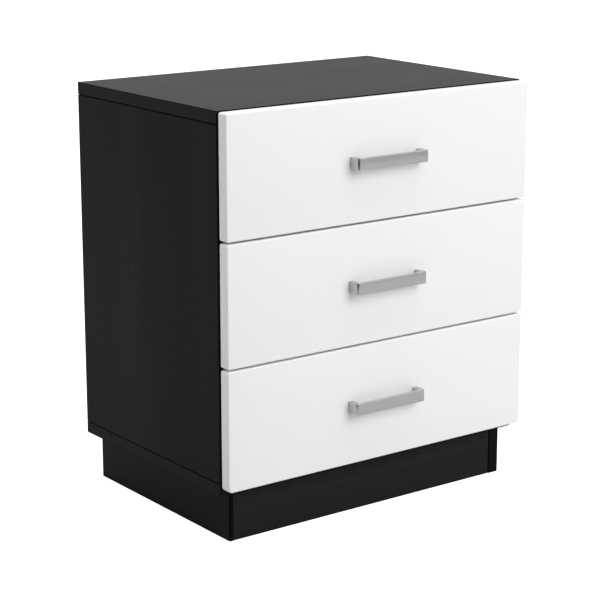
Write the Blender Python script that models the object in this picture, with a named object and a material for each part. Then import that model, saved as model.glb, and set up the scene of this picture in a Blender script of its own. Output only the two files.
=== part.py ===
"""A nightstand with three drawers on a recessed plinth.

Dimensions are in metres. +X points to the right, -Y to the front and +Z up. The origin is on the
floor, at the centre of the overall box, handles included. Positions across the depth are first
worked out from the front edge of the carcass, and the carcass and drawer empties then set them
in place. A drawer's pieces are placed from its own empty, which moves along -Y as it opens.
"""

import math

import bmesh
import bpy
from mathutils import Matrix, Vector

# Overall sizes
WIDTH = 0.480  # of the carcass
CARCASS_DEPTH = 0.320  # without the drawer fronts
HEIGHT = 0.540

# Boards
BOARD = 0.016  # top, bottom, sides and plinth
BACK_BOARD = 0.003
BACK_INSET = 0.010  # from the carcass's rear edge to the back board
BACK_GROOVE_DEPTH = 0.008
EDGE_EASE = 0.0007  # chamfer on every board's edges
CONTACT_GAP = 0.0003  # left between pieces that touch

# Plinth
PLINTH_HEIGHT = 0.064
PLINTH_SIDE_INSET = 0.017
PLINTH_FRONT_INSET = 0.005
PLINTH_BACK_INSET = 0.009
PLINTH_FRONT_RECESS = 0.001  # the front board behind the ends of the side boards
PLINTH_LIP = 0.005  # of the left board, left standing outside the end of the front board
PLINTH_LIP_RADIUS = 0.0038

# Drawer fronts
DRAWER_NAMES = ("top", "middle", "bottom")
FRONT_BOARD = 0.016
FRONT_STANDOFF = 0.002  # between a closed front and the carcass
FRONT_REVEAL = 0.001  # a front stops short of the carcass's sides and top by this much
FRONT_LIFT = 0.009  # the lowest front's lower edge above the underside of the bottom panel
FRONT_GAP = 0.0025  # between one front and the next
FRONT_CORNER_RADIUS = 0.003  # seen from the front
FRONT_FOOT_RADIUS = 0.0055  # the lowest front's two lower corners
FRONT_ARRIS_RADIUS = 0.002  # round the outer face

# Drawer boxes
BOX_BOARD = 0.012
BOX_HEAD_ROOM = 0.017  # from the top drawer's box up to the top panel
BOX_REAR_ROOM = 0.0132  # behind a closed box
BASE_BOARD = 0.003
BASE_RISE = 0.010  # from a box side's lower edge to the groove for the base
BASE_GROOVE_DEPTH = 0.005

# Roller runners
RUNNER_SPACE = 0.0127  # between the carcass side and the box side
RUNNER_SHEET = 0.0012
RUNNER_SETBACK = 0.002  # behind the carcass's front edge, and behind the box side's front end
CABINET_RUNNER_REAR_ROOM = 0.005  # up to the back board
DRAWER_RUNNER_REAR_INSET = 0.003  # from the box's rear end
FLANGE_ROOM = 0.0013  # from the edge of one runner's flange to the other runner's web
RUNNER_HEAD_ROOM = 0.0008  # between the drawer runner's flange and the one above it
RUNNER_FLOOR_ROOM = 0.006  # under the lowest cabinet runner
BOX_DROP = 0.0072  # from the rollers' axis down to the box side's lower edge
ROLLER_RADIUS = 0.009
ROLLER_CHAMFER = 0.0008
ROLLER_CLEARANCE = 0.0003
ROLLER_SIDE_PLAY = 0.0006
ROLLER_FROM_END = 0.012  # from a runner's end to its roller's axis
OPEN_ROLLER_SPACING = 0.0398  # between the two rollers' axes when a drawer is fully open
AXLE_RADIUS = 0.003
AXLE_HEAD = 0.0008
AXLE_HEAD_LIP = 0.0012  # the head's radius over the axle's
AXLE_HEAD_ROOM = 0.0007  # from the head to the other runner's web
STOP_SHARE = 0.35  # height of the stop tab in a cabinet runner, of a roller's diameter

# Handles
HANDLE_LENGTH = 0.112
HANDLE_HEIGHT = 0.015
HANDLE_PROJECTION = 0.018
HANDLE_BAR = 0.005
HANDLE_LEG = 0.0065
HANDLE_OUTER_RADIUS = 0.004
HANDLE_INNER_RADIUS = 0.0015
HANDLE_ARRIS = 0.0005
SCREW_RADIUS = 0.0019
SCREW_CLEARANCE = 0.0003
SCREW_HEAD_RADIUS = 0.004
SCREW_HEAD = 0.0024
SCREW_BITE = 0.009  # how far a screw reaches into the handle
SCREW_HOLE_SPARE = 0.002  # of the threaded hole past the screw's end
RECESS_WIDTH = 0.0011
RECESS_LENGTH = 0.0042
RECESS_DEPTH = 0.0014

# Facets of the round pieces
ROLLER_SIDES = 20
AXLE_SIDES = 16
SCREW_SIDES = 14
CORNER_STEPS = 3

# Levels and places that follow from the sizes above
BOTTOM_PANEL_TOP = PLINTH_HEIGHT + BOARD
TOP_PANEL_UNDERSIDE = HEIGHT - BOARD
INNER_WIDTH = WIDTH - 2 * BOARD
BACK_FACE = CARCASS_DEPTH - BACK_INSET - BACK_BOARD  # the back board's front face
FRONT_WIDTH = WIDTH - 2 * FRONT_REVEAL
FRONTS_BOTTOM = PLINTH_HEIGHT + FRONT_LIFT
FRONTS_TOP = HEIGHT - FRONT_REVEAL
GAPS_HEIGHT = (len(DRAWER_NAMES) - 1) * FRONT_GAP
FRONT_HEIGHT = (FRONTS_TOP - FRONTS_BOTTOM - GAPS_HEIGHT) / len(DRAWER_NAMES)
FRONT_PITCH = FRONT_HEIGHT + FRONT_GAP
FRONT_INNER_FACE = -FRONT_STANDOFF
FRONT_OUTER_FACE = FRONT_INNER_FACE - FRONT_BOARD
HANDLE_FOOT = FRONT_OUTER_FACE - CONTACT_GAP
OVERALL_DEPTH = CARCASS_DEPTH - HANDLE_FOOT + HANDLE_PROJECTION
CARCASS_FRONT_Y = OVERALL_DEPTH / 2 - CARCASS_DEPTH
CHANNEL_BELOW_AXIS = ROLLER_RADIUS + ROLLER_CLEARANCE + RUNNER_SHEET
CHANNEL_ABOVE_AXIS = CHANNEL_BELOW_AXIS + RUNNER_HEAD_ROOM + RUNNER_SHEET
AXIS_RISE = BOARD - FRONT_LIFT + RUNNER_FLOOR_ROOM + CHANNEL_BELOW_AXIS  # above a front's lower edge
BOX_BOTTOM = AXIS_RISE - BOX_DROP
BOX_WIDTH = INNER_WIDTH - 2 * RUNNER_SPACE
BOX_TOP = FRONT_HEIGHT - (BOARD - FRONT_REVEAL) - BOX_HEAD_ROOM
BOX_FRONT = FRONT_INNER_FACE + CONTACT_GAP
BOX_REAR = BACK_FACE - BOX_REAR_ROOM
BASE_BOTTOM = BOX_BOTTOM + BASE_RISE
CABINET_RUNNER_REAR = BACK_FACE - CABINET_RUNNER_REAR_ROOM
CABINET_ROLLER_Y = RUNNER_SETBACK + ROLLER_FROM_END
DRAWER_RUNNER_FRONT = BOX_FRONT + RUNNER_SETBACK
DRAWER_RUNNER_REAR = BOX_REAR - DRAWER_RUNNER_REAR_INSET
DRAWER_ROLLER_Y = DRAWER_RUNNER_REAR - ROLLER_FROM_END
TRAVEL = DRAWER_ROLLER_Y - CABINET_ROLLER_Y - OPEN_ROLLER_SPACING
WEB_GAP = RUNNER_SPACE - 2 * (CONTACT_GAP + RUNNER_SHEET)
ROLLER_WIDTH = WEB_GAP - 2 * ROLLER_SIDE_PLAY - AXLE_HEAD - AXLE_HEAD_ROOM
AXLE_HEAD_RADIUS = AXLE_RADIUS + AXLE_HEAD_LIP
CABINET_RUNNER_FLANGE = RUNNER_SHEET + WEB_GAP - FLANGE_ROOM
DRAWER_RUNNER_FLANGE = WEB_GAP - FLANGE_ROOM
STOP_HEIGHT = STOP_SHARE * 2 * ROLLER_RADIUS
HANDLE_HOLE_SPACING = HANDLE_LENGTH - HANDLE_LEG
SCREW_HOLE_RADIUS = SCREW_RADIUS + SCREW_CLEARANCE
MILLIMETRE = 0.001


def clear_scene():
    for obj in list(bpy.data.objects):
        bpy.data.objects.remove(obj, do_unlink=True)


def make_material(name, colour, roughness, metallic=0.0):
    material = bpy.data.materials.new(name)
    material.use_nodes = True
    shader = material.node_tree.nodes["Principled BSDF"]
    shader.inputs["Base Color"].default_value = (*colour, 1.0)
    shader.inputs["Roughness"].default_value = roughness
    shader.inputs["Metallic"].default_value = metallic
    return material


def make_materials():
    return {
        "black_board": make_material("black_board", (0.016, 0.017, 0.018), 0.45),
        "white_front": make_material("white_front", (0.87, 0.87, 0.86), 0.22),
        "white_box": make_material("white_box", (0.74, 0.74, 0.72), 0.5),
        "white_base": make_material("white_base", (0.70, 0.69, 0.66), 0.55),
        "handle_metal": make_material("handle_metal", (0.55, 0.55, 0.55), 0.32, 1.0),
        "runner_metal": make_material("runner_metal", (0.62, 0.62, 0.60), 0.4, 0.2),
        "nylon": make_material("nylon", (0.82, 0.82, 0.78), 0.35),
        "screw_metal": make_material("screw_metal", (0.60, 0.60, 0.62), 0.3, 1.0),
    }


def make_empty(name, location, parent=None):
    empty = bpy.data.objects.new(name, None)
    bpy.context.scene.collection.objects.link(empty)
    empty.location = location
    empty.parent = parent
    return empty


def add_object(name, bm, parent, material=None, location=(0, 0, 0)):
    """Turns the bmesh into an object under its parent. Its vertices count from the location."""
    bmesh.ops.recalc_face_normals(bm, faces=bm.faces)
    mesh = bpy.data.meshes.new(name)
    bm.to_mesh(mesh)
    bm.free()
    mesh.shade_smooth()
    mesh.set_sharp_from_angle(angle=math.radians(35))
    obj = bpy.data.objects.new(name, mesh)
    bpy.context.scene.collection.objects.link(obj)
    obj.parent = parent
    obj.location = location
    if material:
        mesh.materials.append(material)
    return obj


def box_between(low, high):
    """A bmesh box about its own centre, and where that centre goes."""
    low, high = Vector(low), Vector(high)
    bm = bmesh.new()
    bmesh.ops.create_cube(bm, size=1.0)
    bmesh.ops.scale(bm, vec=high - low, verts=bm.verts)
    return bm, (low + high) / 2


def chamfer(obj, width, segments=1, angle=30):
    modifier = obj.modifiers.new("Chamfer", "BEVEL")
    modifier.width = width
    modifier.segments = segments
    modifier.limit_method = "ANGLE"
    modifier.angle_limit = math.radians(angle)


def combine(obj, helper, operation):
    """Cuts the helper from the object, or joins it on, and keeps the helper out of the render."""
    helper.hide_render = True
    helper.display_type = "WIRE"
    modifier = obj.modifiers.new(helper.name, "BOOLEAN")
    modifier.operation = operation
    modifier.object = helper
    modifier.solver = "EXACT"


def cut_box(obj, name, low, high):
    bm, centre = box_between(low, high)
    cutter = add_object(f"{obj.name}_{name}_cutter", bm, obj.parent, location=centre)
    combine(obj, cutter, "DIFFERENCE")


def cut_hole(obj, name, centre, radius, depth):
    """A round hole along Y, from the centre towards -Y and an overshoot towards +Y."""
    bm = bmesh.new()
    length = depth + MILLIMETRE
    bmesh.ops.create_cone(
        bm,
        cap_ends=True,
        segments=SCREW_SIDES,
        radius1=radius,
        radius2=radius,
        depth=length,
        matrix=Matrix.Rotation(math.radians(90), 4, "X"),
    )
    middle = Vector(centre) + Vector((0, MILLIMETRE - length / 2, 0))
    cutter = add_object(f"{obj.name}_{name}_cutter", bm, obj.parent, location=middle)
    combine(obj, cutter, "DIFFERENCE")


def board(name, low, high, parent, material):
    """A flat board between two corners, with eased edges."""
    bm, centre = box_between(low, high)
    obj = add_object(name, bm, parent, material, centre)
    chamfer(obj, EDGE_EASE)
    return obj


def extrude_outline(outline, vector):
    """A closed outline of 3-D points as a face, carried along the vector into a solid."""
    bm = bmesh.new()
    face = bm.faces.new([bm.verts.new(point) for point in outline])
    made = bmesh.ops.extrude_face_region(bm, geom=[face])
    moved = [item for item in made["geom"] if isinstance(item, bmesh.types.BMVert)]
    bmesh.ops.translate(bm, vec=vector, verts=moved)
    return bm


def turn_profile(profile, sides):
    """Spins a closed profile of (x, radius) points about the X axis."""
    bm = bmesh.new()
    verts = [bm.verts.new((x, 0, radius)) for x, radius in profile]
    edges = [bm.edges.new((a, b)) for a, b in zip(verts, verts[1:] + verts[:1])]
    bmesh.ops.spin(
        bm,
        geom=verts + edges,
        cent=(0, 0, 0),
        axis=(1, 0, 0),
        angle=math.tau,
        steps=sides,
        use_merge=True,
    )
    bmesh.ops.remove_doubles(bm, verts=bm.verts, dist=MILLIMETRE / 1000)
    axial = [edge for edge in bm.edges if all(v.co.yz.length < MILLIMETRE / 1000 for v in edge.verts)]
    bmesh.ops.delete(bm, geom=axial, context="EDGES")
    return bm


def arc_points(centre, radius, start, end, steps=CORNER_STEPS):
    """Points on an arc in the XY plane, with the angles in degrees."""
    angles = [math.radians(start + (end - start) * i / steps) for i in range(steps + 1)]
    return [(centre[0] + radius * math.cos(a), centre[1] + radius * math.sin(a)) for a in angles]


def build_carcass(carcass, materials):
    """Top and bottom lie over and under the sides, and the back board stands in a groove."""
    black = materials["black_board"]
    half = WIDTH / 2
    inner = INNER_WIDTH / 2
    groove_front = BACK_FACE - CONTACT_GAP
    groove_rear = BACK_FACE + BACK_BOARD + CONTACT_GAP
    groove_reach = inner + BACK_GROOVE_DEPTH
    low_reach = BOTTOM_PANEL_TOP - BACK_GROOVE_DEPTH
    high_reach = TOP_PANEL_UNDERSIDE + BACK_GROOVE_DEPTH

    top = board(
        "top_panel",
        (-half, 0, TOP_PANEL_UNDERSIDE),
        (half, CARCASS_DEPTH, HEIGHT),
        carcass,
        black,
    )
    bottom = board(
        "bottom_panel",
        (-half, 0, PLINTH_HEIGHT),
        (half, CARCASS_DEPTH, BOTTOM_PANEL_TOP),
        carcass,
        black,
    )
    for panel in (top, bottom):
        cut_box(
            panel,
            "back_groove",
            (-groove_reach, groove_front, low_reach),
            (groove_reach, groove_rear, high_reach),
        )
    for name, sign in (("left", -1), ("right", 1)):
        outer_x, inner_x = sign * half, sign * inner
        side = board(
            f"side_panel_{name}",
            (min(outer_x, inner_x), 0, BOTTOM_PANEL_TOP + CONTACT_GAP),
            (max(outer_x, inner_x), CARCASS_DEPTH, TOP_PANEL_UNDERSIDE - CONTACT_GAP),
            carcass,
            black,
        )
        cut_box(
            side,
            "back_groove",
            (-groove_reach, groove_front, low_reach),
            (groove_reach, groove_rear, high_reach),
        )
    board(
        "back_panel",
        (-groove_reach + CONTACT_GAP, BACK_FACE, low_reach + CONTACT_GAP),
        (groove_reach - CONTACT_GAP, BACK_FACE + BACK_BOARD, high_reach - CONTACT_GAP),
        carcass,
        black,
    )


def build_plinth(carcass, materials):
    """Two side boards run through, with the back board between them. The front board butts against
    the right one and lies in a rebate of the left one, behind its rounded lip."""
    black = materials["black_board"]
    outer = WIDTH / 2 - PLINTH_SIDE_INSET
    inner = outer - BOARD
    front = PLINTH_FRONT_INSET
    rear = CARCASS_DEPTH - PLINTH_BACK_INSET
    top = PLINTH_HEIGHT - CONTACT_GAP
    between = inner - CONTACT_GAP
    front_face = front + PLINTH_FRONT_RECESS
    lip_inner = PLINTH_LIP - outer
    rebate_rear = front_face + BOARD + CONTACT_GAP
    radius = PLINTH_LIP_RADIUS
    outline = arc_points((radius - outer, front + radius), radius, 180, 270)
    outline += [(lip_inner, front), (lip_inner, rebate_rear), (-inner, rebate_rear), (-inner, rear), (-outer, rear)]
    bm = extrude_outline([(x, y, 0) for x, y in outline], (0, 0, top))
    left = add_object("plinth_side_left", bm, carcass, black)
    chamfer(left, EDGE_EASE, angle=50)
    board("plinth_side_right", (inner, front, 0), (outer, rear, top), carcass, black)
    front_low = (lip_inner + CONTACT_GAP, front_face, 0)
    board("plinth_front", front_low, (between, front_face + BOARD, top), carcass, black)
    board("plinth_back", (-between, rear - BOARD, 0), (between, rear, top), carcass, black)


def build_front(name, drawer, material):
    """A drawer front with round corners and arrises, a groove for the base and two screw holes."""
    half = FRONT_WIDTH / 2
    bm, centre = box_between((-half, FRONT_OUTER_FACE, 0), (half, FRONT_INNER_FACE, FRONT_HEIGHT))
    lowest = name.endswith(DRAWER_NAMES[-1])
    for upper, radius in ((True, FRONT_CORNER_RADIUS), (False, FRONT_FOOT_RADIUS if lowest else FRONT_CORNER_RADIUS)):
        corners = [
            edge
            for edge in bm.edges
            if abs((edge.verts[0].co - edge.verts[1].co).y) > FRONT_BOARD / 2 and (edge.verts[0].co.z > 0) == upper
        ]
        bmesh.ops.bevel(
            bm,
            geom=corners,
            offset=radius,
            segments=CORNER_STEPS,
            profile=0.5,
            affect="EDGES",
        )
    outer_y = min(vert.co.y for vert in bm.verts)
    face_rim = [edge for edge in bm.edges if all(abs(v.co.y - outer_y) < MILLIMETRE / 10 for v in edge.verts)]
    bmesh.ops.bevel(
        bm,
        geom=face_rim,
        offset=FRONT_ARRIS_RADIUS,
        segments=CORNER_STEPS,
        profile=0.5,
        affect="EDGES",
    )
    front = add_object(f"{name}_front", bm, drawer, material, centre)
    groove_reach = BOX_WIDTH / 2 - BOX_BOARD + BASE_GROOVE_DEPTH
    cut_box(
        front,
        "base_groove",
        (-groove_reach, FRONT_INNER_FACE - BASE_GROOVE_DEPTH, BASE_BOTTOM - CONTACT_GAP),
        (groove_reach, FRONT_INNER_FACE + MILLIMETRE, BASE_BOTTOM + BASE_BOARD + CONTACT_GAP),
    )
    for side, sign in (("left", -1), ("right", 1)):
        hole = (sign * HANDLE_HOLE_SPACING / 2, FRONT_INNER_FACE, FRONT_HEIGHT / 2)
        cut_hole(front, f"{side}_screw_hole", hole, SCREW_HOLE_RADIUS, FRONT_BOARD + MILLIMETRE)


def build_box(name, drawer, materials):
    """Two sides and a back round a thin base, which slides into grooves and under the back."""
    half = BOX_WIDTH / 2
    inner = half - BOX_BOARD
    groove_reach = inner + BASE_GROOVE_DEPTH
    for side, sign in (("left", -1), ("right", 1)):
        outer_x, inner_x = sign * half, sign * inner
        panel = board(
            f"{name}_side_{side}",
            (min(outer_x, inner_x), BOX_FRONT, BOX_BOTTOM),
            (max(outer_x, inner_x), BOX_REAR, BOX_TOP),
            drawer,
            materials["white_box"],
        )
        cut_box(
            panel,
            "base_groove",
            (-groove_reach, BOX_FRONT - MILLIMETRE, BASE_BOTTOM - CONTACT_GAP),
            (groove_reach, BOX_REAR + MILLIMETRE, BASE_BOTTOM + BASE_BOARD + CONTACT_GAP),
        )
    board(
        f"{name}_back",
        (-inner + CONTACT_GAP, BOX_REAR - BOX_BOARD, BASE_BOTTOM + BASE_BOARD + CONTACT_GAP),
        (inner - CONTACT_GAP, BOX_REAR, BOX_TOP),
        drawer,
        materials["white_box"],
    )
    bm, centre = box_between(
        (
            -groove_reach + CONTACT_GAP,
            FRONT_INNER_FACE - BASE_GROOVE_DEPTH + CONTACT_GAP,
            BASE_BOTTOM,
        ),
        (groove_reach - CONTACT_GAP, BOX_REAR, BASE_BOTTOM + BASE_BOARD),
    )
    add_object(f"{name}_base", bm, drawer, materials["white_base"], centre)


def handle_outline():
    """The handle seen from above: a bar on two legs, round at its outer and inner corners."""
    half = HANDLE_LENGTH / 2
    bar_face = HANDLE_FOOT - HANDLE_PROJECTION
    leg_inner = half - HANDLE_LEG
    bar_inner = bar_face + HANDLE_BAR
    outer, inner = HANDLE_OUTER_RADIUS, HANDLE_INNER_RADIUS
    right = [(leg_inner, HANDLE_FOOT)]
    right += arc_points((leg_inner - inner, bar_inner + inner), inner, 0, -90)
    left = [(-x, y) for x, y in reversed(right)]
    outer_left = arc_points((-half + outer, bar_face + outer), outer, 180, 270)
    outer_right = [(-x, y) for x, y in reversed(outer_left)]
    return [*right, *left, (-half, HANDLE_FOOT), *outer_left, *outer_right, (half, HANDLE_FOOT)]


def build_handle(name, drawer, materials):
    """The bow handle, and the two screws that hold it from inside the drawer."""
    low = (FRONT_HEIGHT - HANDLE_HEIGHT) / 2
    bm = extrude_outline([(x, y, low) for x, y in handle_outline()], (0, 0, HANDLE_HEIGHT))
    handle = add_object(f"{name}_handle", bm, drawer, materials["handle_metal"])
    chamfer(handle, HANDLE_ARRIS, angle=50)
    head_seat = FRONT_INNER_FACE + CONTACT_GAP
    tip = HANDLE_FOOT - SCREW_BITE
    for side, sign in (("left", -1), ("right", 1)):
        axis_x = sign * HANDLE_HOLE_SPACING / 2
        hole = (axis_x, HANDLE_FOOT, FRONT_HEIGHT / 2)
        cut_hole(handle, f"{side}_thread", hole, SCREW_HOLE_RADIUS, SCREW_BITE + SCREW_HOLE_SPARE)
        profile = (
            (tip, 0),
            (tip, SCREW_RADIUS),
            (head_seat, SCREW_RADIUS),
            (head_seat, SCREW_HEAD_RADIUS),
            (head_seat + SCREW_HEAD / 2, SCREW_HEAD_RADIUS),
            (head_seat + SCREW_HEAD, SCREW_HEAD_RADIUS / 2),
            (head_seat + SCREW_HEAD, 0),
        )
        bm = turn_profile(profile, SCREW_SIDES)
        bmesh.ops.rotate(bm, verts=bm.verts, matrix=Matrix.Rotation(math.radians(90), 3, "Z"))
        place = (axis_x, 0, FRONT_HEIGHT / 2)
        screw_name = f"{name}_handle_screw_{side}"
        screw = add_object(screw_name, bm, drawer, materials["screw_metal"], place)
        recess_floor = head_seat + SCREW_HEAD - RECESS_DEPTH
        for slot, size_x, size_z in (
            ("upright_slot", RECESS_WIDTH, RECESS_LENGTH),
            ("level_slot", RECESS_LENGTH, RECESS_WIDTH),
        ):
            cut_box(
                screw,
                slot,
                (axis_x - size_x / 2, recess_floor, FRONT_HEIGHT / 2 - size_z / 2),
                (axis_x + size_x / 2, head_seat + 2 * SCREW_HEAD, FRONT_HEIGHT / 2 + size_z / 2),
            )


def add_axle(runner, web_face, sign, axis_y, axis_z):
    """Rivets a headed stub axle to a runner. It stands out of the web's face towards sign * X."""
    root = -RUNNER_SHEET / 2
    head = 2 * ROLLER_SIDE_PLAY + ROLLER_WIDTH
    profile = (
        (root, 0),
        (root, AXLE_RADIUS),
        (head, AXLE_RADIUS),
        (head, AXLE_HEAD_RADIUS),
        (head + AXLE_HEAD, AXLE_HEAD_RADIUS),
        (head + AXLE_HEAD, 0),
    )
    bm = turn_profile([(sign * x, radius) for x, radius in profile], AXLE_SIDES)
    axle = add_object(f"{runner.name}_axle", bm, runner.parent, location=(web_face, axis_y, axis_z))
    combine(runner, axle, "UNION")


def build_roller(name, parent, material, web_face, sign, axis_y, axis_z):
    """A nylon roller on an axle, with its origin on the axle's line."""
    near = ROLLER_SIDE_PLAY
    far = near + ROLLER_WIDTH
    bore = AXLE_RADIUS + ROLLER_CLEARANCE
    profile = (
        (near, bore),
        (near, ROLLER_RADIUS - ROLLER_CHAMFER),
        (near + ROLLER_CHAMFER, ROLLER_RADIUS),
        (far - ROLLER_CHAMFER, ROLLER_RADIUS),
        (far, ROLLER_RADIUS - ROLLER_CHAMFER),
        (far, bore),
    )
    bm = turn_profile([(sign * x, radius) for x, radius in profile], ROLLER_SIDES)
    return add_object(name, bm, parent, material, (web_face, axis_y, axis_z))


def build_cabinet_runner(level, side, sign, base_z, carcass, materials):
    """A channel on the carcass side, with a roller at its front end and a stop tab behind it."""
    wall = sign * (INNER_WIDTH / 2 - CONTACT_GAP)
    axis_z = base_z + AXIS_RISE
    sheet = RUNNER_SHEET
    low, high = axis_z - CHANNEL_BELOW_AXIS, axis_z + CHANNEL_ABOVE_AXIS
    tip = CABINET_RUNNER_FLANGE
    section = (
        (0, low),
        (tip, low),
        (tip, low + sheet),
        (sheet, low + sheet),
        (sheet, high - sheet),
        (tip, high - sheet),
        (tip, high),
        (0, high),
    )
    outline = [(wall - sign * x, RUNNER_SETBACK, z) for x, z in section]
    bm = extrude_outline(outline, (0, CABINET_RUNNER_REAR - RUNNER_SETBACK, 0))
    name = f"cabinet_runner_{level}_{side}"
    runner = add_object(name, bm, carcass, materials["runner_metal"])
    web_face = wall - sign * sheet
    add_axle(runner, web_face, -sign, CABINET_ROLLER_Y, axis_z)
    build_roller(
        f"cabinet_roller_{level}_{side}",
        carcass,
        materials["nylon"],
        web_face,
        -sign,
        CABINET_ROLLER_Y,
        axis_z,
    )
    # A drawer's roller stops with its flank just clear of the tab.
    above_bottom = STOP_HEIGHT + ROLLER_CLEARANCE
    flank = math.sqrt(ROLLER_RADIUS**2 - max(ROLLER_RADIUS - above_bottom, 0) ** 2)
    tab_rear = DRAWER_ROLLER_Y - TRAVEL - flank - ROLLER_CLEARANCE
    tab_x = sorted((wall - sign * sheet / 2, wall - sign * (tip - sheet)))
    bm, centre = box_between(
        (tab_x[0], tab_rear - sheet, low + sheet / 2),
        (tab_x[1], tab_rear, low + sheet + STOP_HEIGHT),
    )
    tab = add_object(f"{name}_stop_tab", bm, carcass, location=centre)
    combine(runner, tab, "UNION")


def build_drawer_runner(name, side, sign, drawer, materials):
    """An angle under the box side, with a flange over the rollers and a roller at its rear end."""
    sheet = RUNNER_SHEET
    web_face = sign * (BOX_WIDTH / 2 + CONTACT_GAP + sheet)
    low = BOX_BOTTOM - CONTACT_GAP - sheet
    high = AXIS_RISE + ROLLER_RADIUS + ROLLER_CLEARANCE + sheet
    foot = sheet + CONTACT_GAP + BOX_BOARD
    section = (
        (0, low),
        (foot, low),
        (foot, low + sheet),
        (sheet, low + sheet),
        (sheet, high),
        (-DRAWER_RUNNER_FLANGE, high),
        (-DRAWER_RUNNER_FLANGE, high - sheet),
        (0, high - sheet),
    )
    outline = [(web_face - sign * x, DRAWER_RUNNER_FRONT, z) for x, z in section]
    bm = extrude_outline(outline, (0, DRAWER_RUNNER_REAR - DRAWER_RUNNER_FRONT, 0))
    runner = add_object(f"{name}_runner_{side}", bm, drawer, materials["runner_metal"])
    add_axle(runner, web_face, sign, DRAWER_ROLLER_Y, AXIS_RISE)
    build_roller(
        f"{name}_roller_{side}",
        drawer,
        materials["nylon"],
        web_face,
        sign,
        DRAWER_ROLLER_Y,
        AXIS_RISE,
    )


def build_drawer(level, base_z, carcass, materials):
    name = f"drawer_{level}"
    drawer = make_empty(name, (0, 0, base_z), carcass)
    build_front(name, drawer, materials["white_front"])
    build_box(name, drawer, materials)
    build_handle(name, drawer, materials)
    for side, sign in (("left", -1), ("right", 1)):
        build_drawer_runner(name, side, sign, drawer, materials)
        build_cabinet_runner(level, side, sign, base_z, carcass, materials)


def main():
    clear_scene()
    materials = make_materials()
    carcass = make_empty("carcass", (0, CARCASS_FRONT_Y, 0))
    build_carcass(carcass, materials)
    build_plinth(carcass, materials)
    for index, level in enumerate(reversed(DRAWER_NAMES)):
        build_drawer(level, FRONTS_BOTTOM + index * FRONT_PITCH, carcass, materials)


main()
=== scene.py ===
import math

import bmesh
import bpy
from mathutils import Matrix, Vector


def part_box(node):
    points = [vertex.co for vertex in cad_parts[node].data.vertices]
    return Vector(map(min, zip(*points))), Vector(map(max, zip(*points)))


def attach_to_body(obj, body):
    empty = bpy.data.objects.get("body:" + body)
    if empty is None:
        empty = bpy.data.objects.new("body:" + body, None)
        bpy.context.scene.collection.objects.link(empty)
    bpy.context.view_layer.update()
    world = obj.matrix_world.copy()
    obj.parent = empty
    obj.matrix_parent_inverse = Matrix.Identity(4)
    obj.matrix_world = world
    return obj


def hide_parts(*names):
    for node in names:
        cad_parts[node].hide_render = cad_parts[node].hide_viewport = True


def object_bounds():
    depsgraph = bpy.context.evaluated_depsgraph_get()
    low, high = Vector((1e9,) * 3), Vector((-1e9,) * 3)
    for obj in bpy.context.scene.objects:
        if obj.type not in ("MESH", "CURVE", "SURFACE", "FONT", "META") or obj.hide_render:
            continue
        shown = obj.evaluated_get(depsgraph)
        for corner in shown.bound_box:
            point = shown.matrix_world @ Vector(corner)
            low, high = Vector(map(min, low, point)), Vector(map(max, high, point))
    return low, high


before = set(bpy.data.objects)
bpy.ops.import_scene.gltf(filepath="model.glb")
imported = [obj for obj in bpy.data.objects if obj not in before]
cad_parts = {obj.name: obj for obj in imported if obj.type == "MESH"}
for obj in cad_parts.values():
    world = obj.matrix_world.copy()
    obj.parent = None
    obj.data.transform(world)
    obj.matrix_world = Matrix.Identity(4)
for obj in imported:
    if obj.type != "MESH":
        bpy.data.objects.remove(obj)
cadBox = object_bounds()
bpy.ops.object.select_all(action="DESELECT")
print("frame loaded with", len(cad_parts), "nodes")

mm = 0.001
levels = ("top", "middle", "bottom")
sides = {"left": -1, "right": 1}
axes = {"x": 0, "y": 1, "z": 2}


def newMaterial(name, finish):
    material = bpy.data.materials.new(name)
    material.use_nodes = True
    shader = material.node_tree.nodes["Principled BSDF"]
    shader.inputs["Base Color"].default_value = (*finish["colour"], 1)
    shader.inputs["Roughness"].default_value = finish["roughness"]
    shader.inputs["Metallic"].default_value = finish.get("metallic", 0)
    shader.inputs["Specular IOR Level"].default_value = finish.get("specular", 0.5)
    shader.inputs["Coat Weight"].default_value = finish.get("coat", 0)
    shader.inputs["Coat Roughness"].default_value = finish.get("coatRoughness", 0.1)
    shader.inputs["Anisotropic"].default_value = finish.get("anisotropic", 0)
    return material, shader


def addNode(material, kind, **settings):
    node = material.node_tree.nodes.new(kind)
    for setting, value in settings.items():
        setattr(node, setting, value)
    return node


def join(material, source, target):
    material.node_tree.links.new(source, target)


def noiseAt(material, coordinate, scale, detail=4, roughness=0.55, distortion=0):
    # Noise stretched by a different scale on each axis, in cells per metre
    mapping = addNode(material, "ShaderNodeMapping")
    mapping.inputs["Scale"].default_value = scale
    noise = addNode(material, "ShaderNodeTexNoise")
    noise.inputs["Scale"].default_value = 1
    noise.inputs["Detail"].default_value = detail
    noise.inputs["Roughness"].default_value = roughness
    noise.inputs["Distortion"].default_value = distortion
    join(material, coordinate, mapping.inputs["Vector"])
    join(material, mapping.outputs["Vector"], noise.inputs["Vector"])
    return noise.outputs["Fac"]


def remap(material, value, low, high, newLow, newHigh):
    node = addNode(material, "ShaderNodeMapRange", clamp=True)
    node.inputs["From Min"].default_value = low
    node.inputs["From Max"].default_value = high
    node.inputs["To Min"].default_value = newLow
    node.inputs["To Max"].default_value = newHigh
    join(material, value, node.inputs["Value"])
    return node.outputs["Result"]


def combine(material, operation, first, second):
    node = addNode(material, "ShaderNodeMath", operation=operation)
    for socket, value in zip(node.inputs, (first, second)):
        if isinstance(value, (int, float)):
            socket.default_value = value
        else:
            join(material, value, socket)
    return node.outputs["Value"]


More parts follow.
